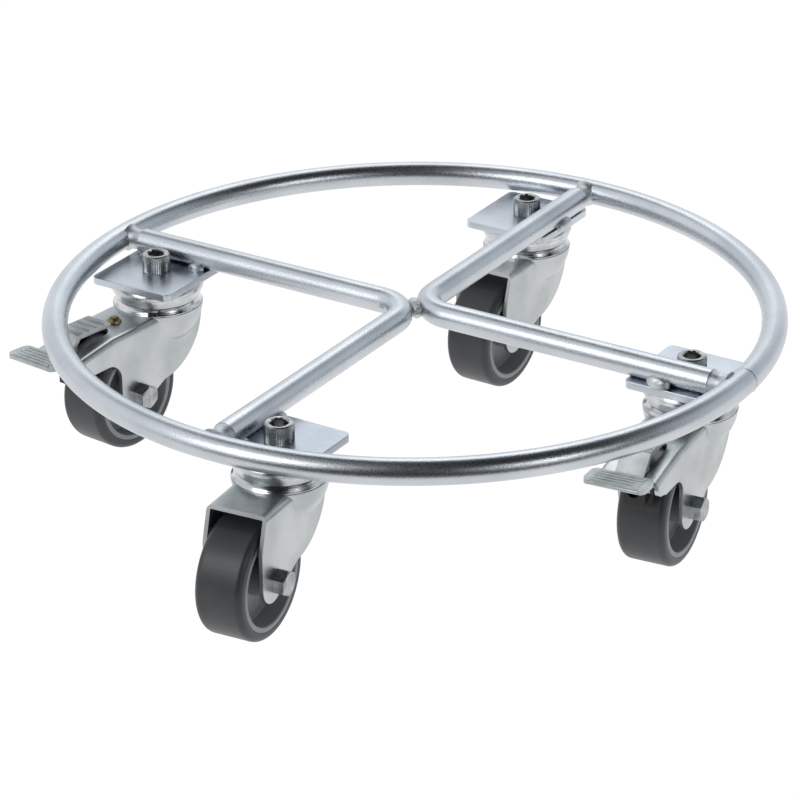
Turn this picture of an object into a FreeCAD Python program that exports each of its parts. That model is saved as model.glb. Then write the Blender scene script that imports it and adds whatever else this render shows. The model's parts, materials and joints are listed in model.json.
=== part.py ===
import FreeCAD, Part
import math
import os

# Drum dolly: a ring of round bar that a drum stands on, held by two V-bent bars and four swivel casters.
# Millimetres. The origin is on the floor under the middle of the ring, +Z is up, and the four arms lie
# along +X (right), +Y (back), -X (left) and -Y (front). Two casters, right and left, carry a brake.

Vector = FreeCAD.Vector
UP = Vector(0, 0, 1)
SIDEWAYS = Vector(0, 1, 0)
ALONG = Vector(1, 0, 0)

# --- driving sizes: frame ---
ring_outer_d = 460.0
bar_d = 16.0
v_bend_r = 24.0            # centreline radius of the bend in each V-bar
arm_end_gap = 8.0          # from the end of an arm to the inner side of the ring, filled by weld
plate_side = 60.0
plate_t = 5.0
plate_corner_r = 4.0
plate_to_ring = 1.5        # from the plate's outer edge to the inner side of the ring
weld_bead_r = 3.2
plate_bead_length = 3.5    # between the centres of a bead's two round ends
inner_bead_inset = 8.0     # from the plate's inner edge to the middle of the inner bead
outer_bead_inset = 13.5
long_bead_r = 3.8          # one longer bead on the arm's other side
long_bead_length = 7.0
long_bead_inset = 22.0
seam_bead_width = 4.0
seam_bead_rise = 0.7
seam_angle = 3.0           # where the ring's butt weld sits, counted from +X

# --- driving sizes: swivel screw and bearing head ---
screw_d = 12.0
screw_head_d = 18.0
screw_head_h = 12.0
socket_flats = 10.0
socket_depth = 7.0
screw_length = 40.0
screw_hole_fit = 0.5       # radial room around the screw in the plate and the cup
swivel_nut_flats = 19.0
swivel_nut_h = 8.0
thread_fit = 0.05
cup_d = 60.0
cup_mouth_d = 54.0
cup_top_d = 57.0
cup_h = 10.7
cup_wall = 2.0
cup_seam_depth = 0.4
head_gap = 0.5             # between the fixed cup and the turning crown ring
crown_ring_top_d = 54.0
crown_ring_foot_d = 57.0
crown_ring_h = 4.8         # what shows of it above the fork's web
sleeve_wall = 1.0
running_fit = 0.06         # radial clearance of a shaft that turns in its bore
ball_gap = 0.05
ball_d = 6.0
ball_circle_d = 40.0
ball_rise = 0.4            # from the crown ring's shoulder to the bottom of the balls
ball_count = 16
low_ball_d = 4.0
low_ball_outset = 2.5      # from the sleeve to the lower balls
low_ball_count = 14
cone_side_gap = 1.0        # from the lower race to the cheeks
cone_t = 2.8

# --- driving sizes: fork ---
sheet_t = 2.5
tread_side_gap = 1.5       # from the tread to each cheek
fork_bend_r = 4.0
crown_clear = 6.5          # from the top of the wheel to the fork's web
fork_rear = 19.5           # from the swivel axis back to the rear edge
plain_web_past_axle = 11.0 # from the axle forward to the plain web's front edge
cheek_knee_drop = 22.0
flare_r = 29.0             # where the cheeks flare out to meet the crown ring
flare_mid_r = 27.0
flare_mid_drop = 9.0
flare_drop = 22.0
tongue_r = 11.5
tongue_lead = 6.0          # the tongue's round end is centred this far ahead of the axle
tongue_rise = 1.0

# --- driving sizes: braked fork ---
web_end_past_pin = 7.0
web_slope_length = 34.0
web_drop = 4.5
slot_width = 19.0
slot_behind_pin = 37.0
lobe_length = 12.5
window_w = 6.0             # the small window in the crown ring of a braked caster
window_h = 3.4
window_depth = 2.5
window_turn = 35.0         # its place, counted from the wheel's side
arch_r = 12.0
arch_drop = 17.0           # from the web down to the arch over the wheel

# --- driving sizes: wheel ---
wheel_d = 75.0
tread_width = 31.0
tread_t = 6.0
shoulder_r = 4.2
trail_past_radius = 2.5    # by how much the trail is longer than the wheel's radius
hub_play = 0.5             # between each end of the hub and the cheek
rim_t = 3.8
hub_boss_d = 21.0
hub_web_t = 6.0
hub_web_taper = 2.0
axle_d = 8.0
axle_hole_fit = 0.2
axle_sleeve_d = 12.0
axle_head_flats = 14.0
axle_head_h = 7.5
axle_nut_h = 6.5
axle_tip = 2.0

# --- driving sizes: brake ---
pin_d = 6.0
pin_past_rim = 11.5        # from the front of the wheel forward to the lever's pin
pin_drop = 8.5             # from the web's top face down to the pin
pin_seat = 1.2             # how deep each end of the pin sits in its cheek
moving_gap = 0.5           # smallest room between the brake's moving pieces at rest
lever_t = 3.0
ear_t = 2.5
ear_r = 5.5
neck_side_gap = 2.0        # from the lever's neck to each cheek
pedal_width = 39.0
pedal_length = 17.5
pedal_corner_r = 6.0
rib_h = 0.7
rib_w = 1.2
pedal_ribs = 5
tab_ribs = 4
block_width = 12.0
block_h = 15.0
pad_width = 17.0
pad_gap = 1.8              # between the released block and the tread
block_recess_d = 7.5
block_recess_depth = 4.0
leaf_t = 0.8
leaf_width = 12.0
leaf_reach = 36.5
rivet_behind_pin = 47.0
rivet_head_d = 10.0
rivet_head_h = 3.8
rivet_shank_d = 5.0

# name, direction of its arm, how far its swivel stands aside of the arm's axis, direction that its wheel
# trails in at rest, whether it has a brake
CASTERS = [
    ("right", 0.0, 20.0, 275.5, True),
    ("back", 90.0, 25.0, 269.0, False),
    ("left", 180.0, 20.0, 264.0, True),
    ("front", 270.0, 21.5, 275.0, False),
]

# --- places that follow from the sizes above ---
bar_r = bar_d / 2
ring_r = ring_outer_d / 2 - bar_r
ring_inner_r = ring_r - bar_r
axle_z = wheel_d / 2
trail = axle_z + trail_past_radius
rim_r = axle_z - tread_t
fork_gap = tread_width + 2 * tread_side_gap
fork_half = fork_gap / 2 + sheet_t
hub_half = fork_gap / 2 - hub_play
web_under = wheel_d + crown_clear
crown_height = web_under + sheet_t
plain_front = trail + plain_web_past_axle
crown_ring_top = crown_height + crown_ring_h
cup_bottom = crown_ring_top + head_gap
swivel_height = cup_bottom + cup_h
plate_top = swivel_height + plate_t
bar_z = plate_top + bar_r
arm_end = ring_inner_r - arm_end_gap
plate_outer = ring_inner_r - plate_to_ring
swivel_along = plate_outer - plate_side / 2
screw_hole_r = screw_d / 2 + screw_hole_fit
sleeve_r = screw_hole_r + sleeve_wall
low_ball_circle_r = sleeve_r + low_ball_outset + low_ball_d / 2
crown_hole_r = low_ball_circle_r
cone_r = fork_gap / 2 - cone_side_gap
cone_top = web_under - ball_gap - low_ball_d - ball_gap
cone_bottom = cone_top - cone_t
ball_z = crown_ring_top + ball_rise + ball_d / 2
ceiling_z = ball_z + ball_d / 2 + ball_gap
pin_at = trail + axle_z + pin_past_rim
pin_z = crown_height - pin_drop
web_end = pin_at + web_end_past_pin
web_bend_at = web_end - web_slope_length
slot_start = pin_at - slot_behind_pin
arch_height = crown_height - arch_drop
lever_half = slot_width / 2 - moving_gap
ear_inner = lever_half - ear_t
neck_half = fork_gap / 2 - neck_side_gap
block_top = pin_z - pin_d / 2 - moving_gap
block_low = block_top - block_h
rivet_at = pin_at - rivet_behind_pin
leaf_top = web_under - moving_gap


# --- small shape tools ---
def outline(start, steps):
    """A closed wire in the XZ plane. A step is a point, or a pair of points: through this, to that."""
    edges = []
    here = start
    for step in steps + [start]:
        if isinstance(step[0], tuple):
            through, there = step
            edges.append(Part.Arc(at(here), at(through), at(there)).toShape())
        else:
            there = step
            edges.append(Part.LineSegment(at(here), at(there)).toShape())
        here = there
    return Part.Wire(edges)


def at(point):
    return Vector(point[0], 0, point[1])


def slab(start, steps, low, high):
    """The outline as a solid plate between two places across the caster."""
    face = Part.Face(outline(start, steps))
    face.translate(Vector(0, low, 0))
    return face.extrude(Vector(0, high - low, 0))


def turned(points):
    """A solid of revolution about Z from (radius, height) points."""
    wire = Part.makePolygon([at(p) for p in points + [points[0]]])
    return Part.Face(wire).revolve(Vector(0, 0, 0), UP, 360)


def rod(radius, start, end, direction=UP):
    """A round rod along one direction, from one distance to another."""
    return Part.makeCylinder(radius, end - start, direction * start, direction)


def tube(radius, bore, start, end, direction=UP):
    return rod(radius, start, end, direction).cut(rod(bore, start - 1, end + 1, direction))


def hexagon(flats, start, end):
    """A hexagonal bar along Z with two of its flats facing +X and -X."""
    corner = flats / math.sqrt(3)
    points = [Vector(corner * math.cos(math.radians(60 * k + 30)),
                     corner * math.sin(math.radians(60 * k + 30)), start) for k in range(7)]
    return Part.Face(Part.makePolygon(points)).extrude(Vector(0, 0, end - start))


def chamfered_hexagon(flats, start, end):
    """A hexagonal head whose outer end is turned to a cone, as a bolt head or nut is."""
    corner = flats / math.sqrt(3)
    rise = (corner - flats * 0.475) * math.tan(math.radians(30))
    cone = turned([(0, start), (corner + 1, start), (corner + 1, end - rise - math.tan(math.radians(30))),
                   (flats * 0.475, end), (0, end)])
    return hexagon(flats, start, end).common(cone)


def across(shape, along, height):
    """Lays a shape that stands on Z across the caster, its +Z end towards +Y, at a place on its side."""
    laid = shape.copy()
    laid.rotate(Vector(0, 0, 0), ALONG, -90)
    laid.translate(Vector(along, 0, height))
    return laid


def rounded(shape, radius, chosen):
    """Fillets the straight edges whose two ends both pass the test."""
    edges = [e for e in shape.Edges
             if len(e.Vertexes) == 2 and all(chosen(v.Point, e) for v in e.Vertexes)]
    return shape.makeFillet(radius, edges) if edges else shape


def near(a, b):
    return abs(a - b) < 0.01


def group(shapes):
    return Part.makeCompound(shapes)


# --- frame ---
def ring():
    return Part.makeTorus(ring_r, bar_r, Vector(0, 0, bar_z), UP)


def v_bar(turn):
    """One bar: in along one arm, round the bend and out along the next, its corner at the middle."""
    tangent = v_bend_r
    mid = v_bend_r * (1 - math.sqrt(0.5))
    path = Part.Wire([
        Part.LineSegment(Vector(arm_end, 0, bar_z), Vector(tangent, 0, bar_z)).toShape(),
        Part.Arc(Vector(tangent, 0, bar_z), Vector(mid, mid, bar_z), Vector(0, tangent, bar_z)).toShape(),
        Part.LineSegment(Vector(0, tangent, bar_z), Vector(0, arm_end, bar_z)).toShape(),
    ])
    section = Part.Wire(Part.makeCircle(bar_r, Vector(arm_end, 0, bar_z), ALONG))
    bar = path.makePipeShell([section], True, False)
    bar.rotate(Vector(0, 0, 0), UP, turn)
    return bar


def centre_weld(bars):
    """The weld in the groove between the two bends."""
    clear_of_corner = v_bend_r * (math.sqrt(2) - 1)
    weld = Part.makeSphere(1.0)
    stretch = FreeCAD.Matrix()
    stretch.scale(clear_of_corner * 0.5, clear_of_corner * 1.15, bar_r * 0.8)
    weld = weld.transformGeometry(stretch)
    weld.rotate(Vector(0, 0, 0), UP, 45)
    weld.translate(Vector(0, 0, bar_z))
    for bar in bars:
        weld = weld.cut(bar)
    return weld


def ring_welds(ring_bar):
    """The cone of weld from each arm's end to the ring, and the raised bead of the ring's own joint."""
    cone = turned([(0, arm_end), (bar_r * 0.95, arm_end), (bar_r * 0.78, ring_inner_r),
                   (bar_r * 0.72, ring_inner_r + 2.5), (0, ring_inner_r + 2.5)])
    cone.rotate(Vector(0, 0, 0), SIDEWAYS, 90)
    cone.translate(Vector(0, 0, bar_z))
    welds = []
    for name, arm, aside, heading, braked in CASTERS:
        weld = cone.copy()
        weld.rotate(Vector(0, 0, 0), UP, arm)
        welds.append(weld.cut(ring_bar))
    seam = rod(bar_r + seam_bead_rise, -seam_bead_width / 2, seam_bead_width / 2, SIDEWAYS)
    seam.translate(Vector(ring_r, 0, bar_z))
    seam.rotate(Vector(0, 0, 0), UP, seam_angle)
    welds.append(seam.cut(ring_bar))
    return group(welds)


def on_arm(shape, arm):
    """Turns a shape made on the +X arm to its own arm."""
    turned_shape = shape.copy()
    turned_shape.rotate(Vector(0, 0, 0), UP, arm)
    return turned_shape


def mounting_plate(aside):
    """The plate under one arm, with its hole for the swivel screw in the middle."""
    plate = Part.makeBox(plate_side, plate_side, plate_t,
                         Vector(plate_outer - plate_side, aside - plate_side / 2, swivel_height))
    plate = rounded(plate, plate_corner_r, lambda p, e: near(abs(e.tangentAt(e.FirstParameter).z), 1))
    hole = rod(screw_hole_r, swivel_height - 1, plate_top + 1)
    hole.translate(Vector(swivel_along, aside, 0))
    return plate.cut(hole)


def plate_beads(bar, plate):
    """The weld beads between an arm and its plate: two short ones, and a longer one on the other side."""
    rows = [(plate_outer - plate_side + inner_bead_inset, plate_bead_length, weld_bead_r, 1),
            (plate_outer - outer_bead_inset, plate_bead_length, weld_bead_r, 1),
            (plate_outer - plate_side + long_bead_inset, long_bead_length, long_bead_r, -1)]
    beads = []
    for middle, length, bead_r, side in rows:
        bead = rod(bead_r, middle - length / 2, middle + length / 2, ALONG)
        for end in (-1, 1):
            bead = bead.fuse(Part.makeSphere(bead_r, ALONG * (middle + end * length / 2)))
        bead.translate(Vector(0, side * bar_r * 0.9, plate_top + bead_r * 0.25))
        beads.append(bead.removeSplitter().cut(bar).cut(plate))
    return beads


# --- swivel screw and the fixed half of the bearing head, all on the swivel axis ---
def swivel_screw():
    head = turned([(0, plate_top), (screw_head_d / 2, plate_top),
                   (screw_head_d / 2, plate_top + screw_head_h - 1),
                   (screw_head_d / 2 - 1, plate_top + screw_head_h), (0, plate_top + screw_head_h)])
    top = plate_top + screw_head_h
    socket = hexagon(socket_flats, top - socket_depth, top + 1)
    shank = turned([(0, plate_top), (screw_d / 2, plate_top),
                    (screw_d / 2, plate_top - screw_length + 1),
                    (screw_d / 2 - 1, plate_top - screw_length), (0, plate_top - screw_length)])
    return head.fuse(shank).cut(socket).removeSplitter()


def swivel_nut():
    nut = chamfered_hexagon(swivel_nut_flats, -cone_bottom, -cone_bottom + swivel_nut_h)
    nut.rotate(Vector(0, 0, 0), ALONG, 180)
    return nut.cut(rod(screw_d / 2 + thread_fit, cone_bottom - swivel_nut_h - 1, cone_bottom + 1))


def top_cup():
    """The fixed upper cup: a bulged skirt with a seam line, open below, on a thick bolted disc."""
    seam_z = swivel_height - 4.3
    bulge = cup_d / 2
    mouth = cup_mouth_d / 2
    outside = [(cup_top_d / 2, swivel_height), (bulge - 0.6, swivel_height - 1.2), (bulge, seam_z + 1.6),
               (bulge - 0.1, seam_z + 0.3), (bulge - 0.2 - cup_seam_depth, seam_z), (bulge - 0.4, seam_z - 0.3),
               (bulge - 1.2, seam_z - 2.4), (mouth + 0.8, seam_z - 4.4), (mouth, cup_bottom)]
    inside = [(mouth - cup_wall, cup_bottom), (mouth - cup_wall + 1.0, seam_z - 3.0),
              (mouth - cup_wall + 1.2, ceiling_z)]
    return turned(outside + inside + [(screw_hole_r, ceiling_z), (screw_hole_r, swivel_height)])


def bottom_cone():
    """The lower race with the sleeve that the fork turns on, clamped between the cup and the nut."""
    return turned([(screw_hole_r, cone_bottom), (cone_r - 1, cone_bottom), (cone_r, cone_bottom + 1),
                   (cone_r, cone_top), (sleeve_r, cone_top), (sleeve_r, ceiling_z), (screw_hole_r, ceiling_z)])


# --- the turning half of the head and the fork, in the caster's own frame: +X towards the wheel ---
def crown_ring(braked):
    """The race ring let into the fork's crown, with a groove for the upper balls."""
    bore = sleeve_r + running_fit
    race_top = ball_z - 0.8
    race_half = cup_mouth_d / 2 - cup_wall - 1.2
    ring_body = turned([
        (bore, web_under), (crown_hole_r, web_under), (crown_hole_r, crown_height),
        (crown_ring_foot_d / 2, crown_height), (crown_ring_foot_d / 2, crown_height + 0.9),
        (crown_ring_top_d / 2 + 0.4, crown_height + 2.2), (crown_ring_top_d / 2, crown_ring_top - 1.2),
        (crown_ring_top_d / 2 - 0.3, crown_ring_top),
        (race_half, crown_ring_top), (race_half - 0.6, race_top), (bore, race_top)])
    groove = Part.makeTorus(ball_circle_d / 2, ball_d / 2, Vector(0, 0, ball_z), UP)
    ring_body = ring_body.cut(groove)
    if braked:
        window = Part.makeBox(2 * window_depth, window_w, window_h,
                              Vector(crown_ring_top_d / 2 - window_depth, -window_w / 2, crown_height + 0.7))
        window.rotate(Vector(0, 0, 0), UP, window_turn)
        ring_body = ring_body.cut(window)
    return ring_body


def bearing_balls():
    """Both rows of balls, each ball a solid of its own."""
    balls = []
    rows = [(ball_count, ball_circle_d / 2, ball_d, ball_z),
            (low_ball_count, low_ball_circle_r, low_ball_d, web_under - ball_gap - low_ball_d / 2)]
    for count, circle_r, size, height in rows:
        for k in range(count):
            angle = 2 * math.pi * k / count
            place = Vector(circle_r * math.cos(angle), circle_r * math.sin(angle), height)
            balls.append(Part.makeSphere(size / 2, place))
    return group(balls)


def tongue_steps():
    """The cheek's lower outline, from the front of the tongue under the axle and up its rear edge."""
    x, z = trail + tongue_lead, axle_z + tongue_rise
    rear_low = (trail - 23.0, axle_z + 2.5)
    reach = math.hypot(rear_low[0] - x, rear_low[1] - z)
    angle = math.atan2(rear_low[1] - z, rear_low[0] - x) + math.acos(tongue_r / reach)
    touch = (x + tongue_r * math.cos(angle), z + tongue_r * math.sin(angle))
    through = (x + tongue_r * math.cos(angle / 2 - math.pi), z + tongue_r * math.sin(angle / 2 - math.pi))
    rear_high = (-fork_rear, crown_height - 8.0)
    rear_mid = (-fork_rear + 10.0, axle_z + 15.0)
    return [(x + tongue_r, z), (through, touch), rear_low, (rear_mid, rear_high)]


def fork(braked):
    """The pressed fork: one sheet bent to a channel, its web on top and a cheek on each side."""
    front = web_end if braked else plain_front
    web_line = [(-fork_rear, crown_height), (front, crown_height)]
    tongue_front = trail + tongue_lead + tongue_r
    if braked:
        web_line = [(-fork_rear, crown_height), (web_bend_at, crown_height), (web_end, crown_height - web_drop)]
        lobe_low = arch_height + 2.3
        lobe_mid = (web_end - 0.8, lobe_low + 1.9)
        arch_mid = (tongue_front + arch_r * (1 - math.sqrt(0.5)), arch_height - arch_r * (1 - math.sqrt(0.5)))
        front_steps = [(web_end + 1, crown_height - web_drop - 4.5), (lobe_mid, (web_end - 5.5, lobe_low)),
                       (web_end - lobe_length, arch_height), (tongue_front + arch_r, arch_height),
                       (arch_mid, (tongue_front, arch_height - arch_r))]
    else:
        front_steps = [(tongue_front, crown_height - cheek_knee_drop)]
    cheeks = slab(web_line[0], web_line[1:] + front_steps + tongue_steps(), -fork_half, fork_half)
    low = -10.0
    room = [(x, z - sheet_t) for x, z in web_line]
    room[0] = (-2 * flare_r, room[0][1])
    if braked:
        slope = web_drop / (web_end - web_bend_at)
        room[-1] = (room[-1][0] + 5, room[-1][1] - 5 * slope)
    else:
        room[-1] = (room[-1][0] + 10, room[-1][1])
    channel = cheeks.cut(slab(room[0], room[1:] + [(room[-1][0], low), (room[0][0], low)],
                              -fork_gap / 2, fork_gap / 2))

    def on_top_corner(point, edge):
        flat = abs(edge.tangentAt(edge.FirstParameter).y) < 0.5
        high = point.z > crown_height - web_drop - 0.1
        return flat and high and near(abs(point.y), fork_half) and not rising(edge)

    channel = rounded(channel, fork_bend_r, on_top_corner)
    channel = flared(channel)
    channel = channel.cut(rod(crown_hole_r, web_under - 5, crown_height + 5))
    channel = channel.cut(across(rod(axle_d / 2 + axle_hole_fit, -fork_half - 1, fork_half + 1), trail, axle_z))
    if braked:
        channel = channel.cut(lever_slot())
        seat = fork_gap / 2 + pin_seat
        channel = channel.cut(across(rod(pin_d / 2, -seat, seat), pin_at, pin_z))
        channel = channel.cut(across_web(rod(rivet_shank_d / 2, web_under - 1, crown_height + 1)))
    return channel.removeSplitter()


def bell(inset):
    """The crown as a solid of revolution: wide under the crown ring, narrowing to the cheeks below."""
    top = crown_height - inset
    foot = crown_height - flare_drop
    profile = outline((0, foot), [
        (0, top), (flare_r - inset, top),
        ((flare_mid_r - inset, crown_height - flare_mid_drop), (fork_half - 1 - inset, foot))])
    return Part.Face(profile).revolve(Vector(0, 0, 0), UP, 360)


def flared(channel):
    """Draws the cheeks out to a round crown, one sheet thick, and leaves the channel open below it."""
    inside = bell(sheet_t)
    reach = 2 * flare_r
    opening = Part.makeBox(2 * reach, fork_gap, crown_height, Vector(-reach, -fork_gap / 2, web_under - crown_height))
    shell = bell(0).cut(inside).cut(opening)
    return channel.cut(inside).fuse(shell)


def rising(edge):
    return abs(edge.tangentAt(edge.FirstParameter).z) > 0.5


def lever_slot():
    """The slot that the lever comes up through, with a round rear end and open to the front."""
    half = slot_width / 2
    slot = Part.makeBox(web_end, slot_width, 20, Vector(slot_start + half, -half, crown_height - 14))
    return slot.fuse(rod_at(half, slot_start + half, crown_height - 14, crown_height + 6))


def rod_at(radius, along, low, high):
    post = rod(radius, low, high)
    post.translate(Vector(along, 0, 0))
    return post


def across_web(shape):
    moved = shape.copy()
    moved.translate(Vector(rivet_at, 0, 0))
    return moved


# --- wheel and axle, in the caster's own frame ---
def tread():
    """The soft tread, moulded on the rim, with round shoulders and a fine line beside them."""
    half = tread_width / 2
    radius = wheel_d / 2
    round_off = shoulder_r * (1 - math.sqrt(0.5))
    profile = outline((rim_r, -half), [
        (radius - shoulder_r, -half),
        ((radius - round_off, -half + round_off), (radius, -half + shoulder_r)),
        (radius, half - shoulder_r),
        ((radius - round_off, half - round_off), (radius - shoulder_r, half)),
        (rim_r, half)])
    return across(Part.Face(profile).revolve(Vector(0, 0, 0), UP, 360), trail, axle_z)


def hub():
    """The plastic hub: a rim, a dished web and a boss that runs on the axle sleeve."""
    half = tread_width / 2
    inner = rim_r - rim_t
    boss = hub_boss_d / 2
    bore = axle_sleeve_d / 2 + running_fit
    web = hub_web_t / 2
    thick = web + hub_web_taper
    profile = turned([
        (bore, -hub_half), (boss - 1, -hub_half), (boss, -hub_half + 1), (boss + 1, -thick),
        (inner - 1, -web), (inner, -web - 1), (inner + 0.4, -half + 0.6), (inner + 1, -half), (rim_r, -half),
        (rim_r, half), (inner + 1, half), (inner + 0.4, half - 0.6), (inner, web + 1), (inner - 1, web),
        (boss + 1, thick), (boss, hub_half - 1), (boss - 1, hub_half), (bore, hub_half)])
    return across(profile, trail, axle_z)


def axle_sleeve():
    return across(tube(axle_sleeve_d / 2, axle_d / 2, -fork_gap / 2, fork_gap / 2), trail, axle_z)


def axle_bolt():
    """The hexagon bolt that the wheel turns on, its head against the left cheek's outer face."""
    head = chamfered_hexagon(axle_head_flats, fork_half, fork_half + axle_head_h)
    tip = -fork_half - axle_nut_h - axle_tip
    shank = turned([(0, fork_half), (axle_d / 2, fork_half), (axle_d / 2, tip + 1),
                    (axle_d / 2 - 1, tip), (0, tip)])
    return across(head.fuse(shank).removeSplitter(), trail, axle_z)


def axle_nut():
    nut = chamfered_hexagon(axle_head_flats, fork_half, fork_half + axle_nut_h)
    nut = nut.cut(rod(axle_d / 2 + thread_fit, fork_half - 1, fork_half + axle_nut_h + 1))
    nut.rotate(Vector(0, 0, 0), ALONG, 180)
    return across(nut, trail, axle_z)


# --- brake, in the caster's own frame ---
def lever_line():
    """The bent middle line of the lever: release tab, front wall, neck, then pedal."""
    tab_rear = (pin_at - 33.0, pin_z + 13.6)
    tab_front = (pin_at - 6.0, pin_z + 15.0)
    wall_knee = (pin_at + 1.5, pin_z + 6.5)
    neck_low = (pin_at + 8.6, pin_z - 0.9)
    pedal_rear = (pin_at + 30.0 - pedal_length, pin_z + 7.4)
    pedal_front = (pin_at + 30.0, pin_z + 8.4)
    return [tab_rear, tab_front, wall_knee, neck_low, pedal_rear, pedal_front]


def strip_solid(points, half_width):
    """A strip of the lever's sheet along a bent line, with a round rod at each bend and end."""
    half_t = lever_t / 2
    strip = None
    for (x0, z0), (x1, z1) in zip(points, points[1:]):
        length = math.hypot(x1 - x0, z1 - z0)
        nx, nz = -(z1 - z0) / length * half_t, (x1 - x0) / length * half_t
        piece = slab((x0 + nx, z0 + nz), [(x1 + nx, z1 + nz), (x1 - nx, z1 - nz), (x0 - nx, z0 - nz)],
                     -half_width, half_width)
        strip = piece if strip is None else strip.fuse(piece)
    for x, z in points:
        strip = strip.fuse(across(rod(half_t, -half_width, half_width), x, z))
    return strip.removeSplitter()


def pedal():
    """The wide pressed pedal, its corners rounded as seen from above."""
    rear, front = lever_line()[4:]
    blank = Part.makeBox(pedal_length + lever_t, pedal_width, 4 * lever_t,
                         Vector(rear[0] - lever_t / 2, -pedal_width / 2, rear[1] - 2 * lever_t))
    blank = rounded(blank, pedal_corner_r, lambda point, edge: rising(edge))
    tread_plate = strip_solid([rear, front], pedal_width / 2).common(blank)
    slope = (front[1] - rear[1]) / pedal_length
    for k in range(pedal_ribs):
        x = rear[0] + pedal_length * (k + 0.7) / pedal_ribs
        top = rear[1] + (x - rear[0]) * slope + lever_t / 2
        tread_plate = tread_plate.fuse(rib(x, top, pedal_width / 2 - pedal_corner_r * 0.75))
    return tread_plate


def pedal_lever():
    """The lever: a ribbed release tab, a front wall, two ears on the pin, a neck and a wide ribbed pedal."""
    line = lever_line()
    tab_rear, tab_front = line[0], line[1]
    lever = strip_solid(line[:4], lever_half)
    lever = lever.fuse(strip_solid(line[3:5], neck_half))
    lever = lever.fuse(pedal())
    lever = lever.fuse(ear(-lever_half, -ear_inner))
    lever = lever.fuse(ear(ear_inner, lever_half))
    for k in range(tab_ribs):
        share = (k + 0.6) / tab_ribs
        x = tab_rear[0] + share * (tab_front[0] - tab_rear[0])
        top = tab_rear[1] + share * (tab_front[1] - tab_rear[1]) + lever_t / 2
        lever = lever.fuse(rib(x, top, lever_half - 1.0))
    lever = lever.cut(across(rod(pin_d / 2 + running_fit, -fork_half, fork_half), pin_at, pin_z))
    return lever.removeSplitter()


def rib(along, top, half_length):
    """One raised rib across the lever, half sunk in its top face."""
    return across(rod(rib_w / 2, -half_length, half_length), along, top + rib_h - rib_w / 2)


def ear(low, high):
    """One ear of the lever: from the front wall down round the pin."""
    wall_knee, neck_low = lever_line()[2:4]
    plate = slab((pin_at - ear_r, pin_z), [(wall_knee[0] - 5.0, wall_knee[1] + 2.0), wall_knee, neck_low,
                                           (pin_at, pin_z - ear_r)], low, high)
    return plate.fuse(across(rod(ear_r, low, high), pin_at, pin_z)).removeSplitter()


def brake_block():
    """The plastic block: a narrow nose under the pin and a wider pad hollowed to the tread's curve."""
    front = pin_at - 1.0
    pad_front = pin_at - 9.0
    pad_rear = pin_at - 19.0
    clear_r = wheel_d / 2 + pad_gap
    arc_top = axle_z + math.sqrt(clear_r ** 2 - (pad_rear - trail) ** 2)
    arc_low = trail + math.sqrt(clear_r ** 2 - (block_low - axle_z) ** 2)
    middle = math.atan2(arc_top - axle_z + block_low - axle_z, pad_rear - trail + arc_low - trail)
    through = (trail + clear_r * math.cos(middle), axle_z + clear_r * math.sin(middle))
    nose_top = pin_z - pin_d / 2 - 2 * moving_gap
    nose = slab((front, block_low), [(front, nose_top), (pad_front - 1, block_top), (pad_front - 1, block_low)],
                -block_width / 2, block_width / 2)
    pad = slab((pad_front, block_low), [(pad_front, block_top), (pad_rear, block_top), (pad_rear, arc_top),
                                  (through, (arc_low, block_low))], -pad_width / 2, pad_width / 2)
    block = nose.fuse(pad).removeSplitter()
    recess = rod(block_recess_d / 2, front - block_recess_depth, front + 1, ALONG)
    recess.translate(Vector(0, 0, block_low + 9.0))
    return block.cut(recess)


def lever_pin():
    seat = fork_gap / 2 + pin_seat
    return across(rod(pin_d / 2, -seat, seat), pin_at, pin_z)


def spring_leaf():
    """The leaf spring: held by the rivet under the web and bent down on to the top of the block."""
    rear = rivet_at - rivet_shank_d / 2 - 2.0
    bend = rivet_at + leaf_width / 2
    tip = rivet_at + leaf_reach
    leaf = slab((rear, leaf_top), [(bend, leaf_top), (tip, block_top + leaf_t), (tip, block_top),
                                   (bend, leaf_top - leaf_t), (rear, leaf_top - leaf_t)],
                -leaf_width / 2, leaf_width / 2)
    return leaf.cut(across_web(rod(rivet_shank_d / 2 + moving_gap, web_under - 3, web_under + 3)))


def spring_rivet():
    """The domed rivet that holds the leaf: head on the web, shank through both, and a flat foot."""
    foot_top = leaf_top - leaf_t - moving_gap
    crown_r = (rivet_head_d ** 2 / 4 + rivet_head_h ** 2) / (2 * rivet_head_h)
    ball = Part.makeSphere(crown_r, Vector(0, 0, crown_height + rivet_head_h - crown_r))
    dome = ball.common(rod(rivet_head_d, crown_height, crown_height + rivet_head_h + 1))
    shank = rod(rivet_shank_d / 2, foot_top, crown_height)
    foot = rod(rivet_shank_d / 2 + 1.2, foot_top - 1.2, foot_top)
    return across_web(dome.fuse(shank).fuse(foot).removeSplitter())


# --- putting it together ---
def at_swivel(shape, arm, aside):
    """Moves a shape on the Z axis to the swivel axis of one caster."""
    moved = shape.copy()
    moved.translate(Vector(swivel_along, aside, 0))
    return on_arm(moved, arm)


def on_caster(shape, arm, aside, heading):
    """Turns a caster's part to its heading at rest, on its swivel axis."""
    moved = shape.copy()
    moved.rotate(Vector(0, 0, 0), UP, heading - arm)
    return at_swivel(moved, arm, aside)


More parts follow.
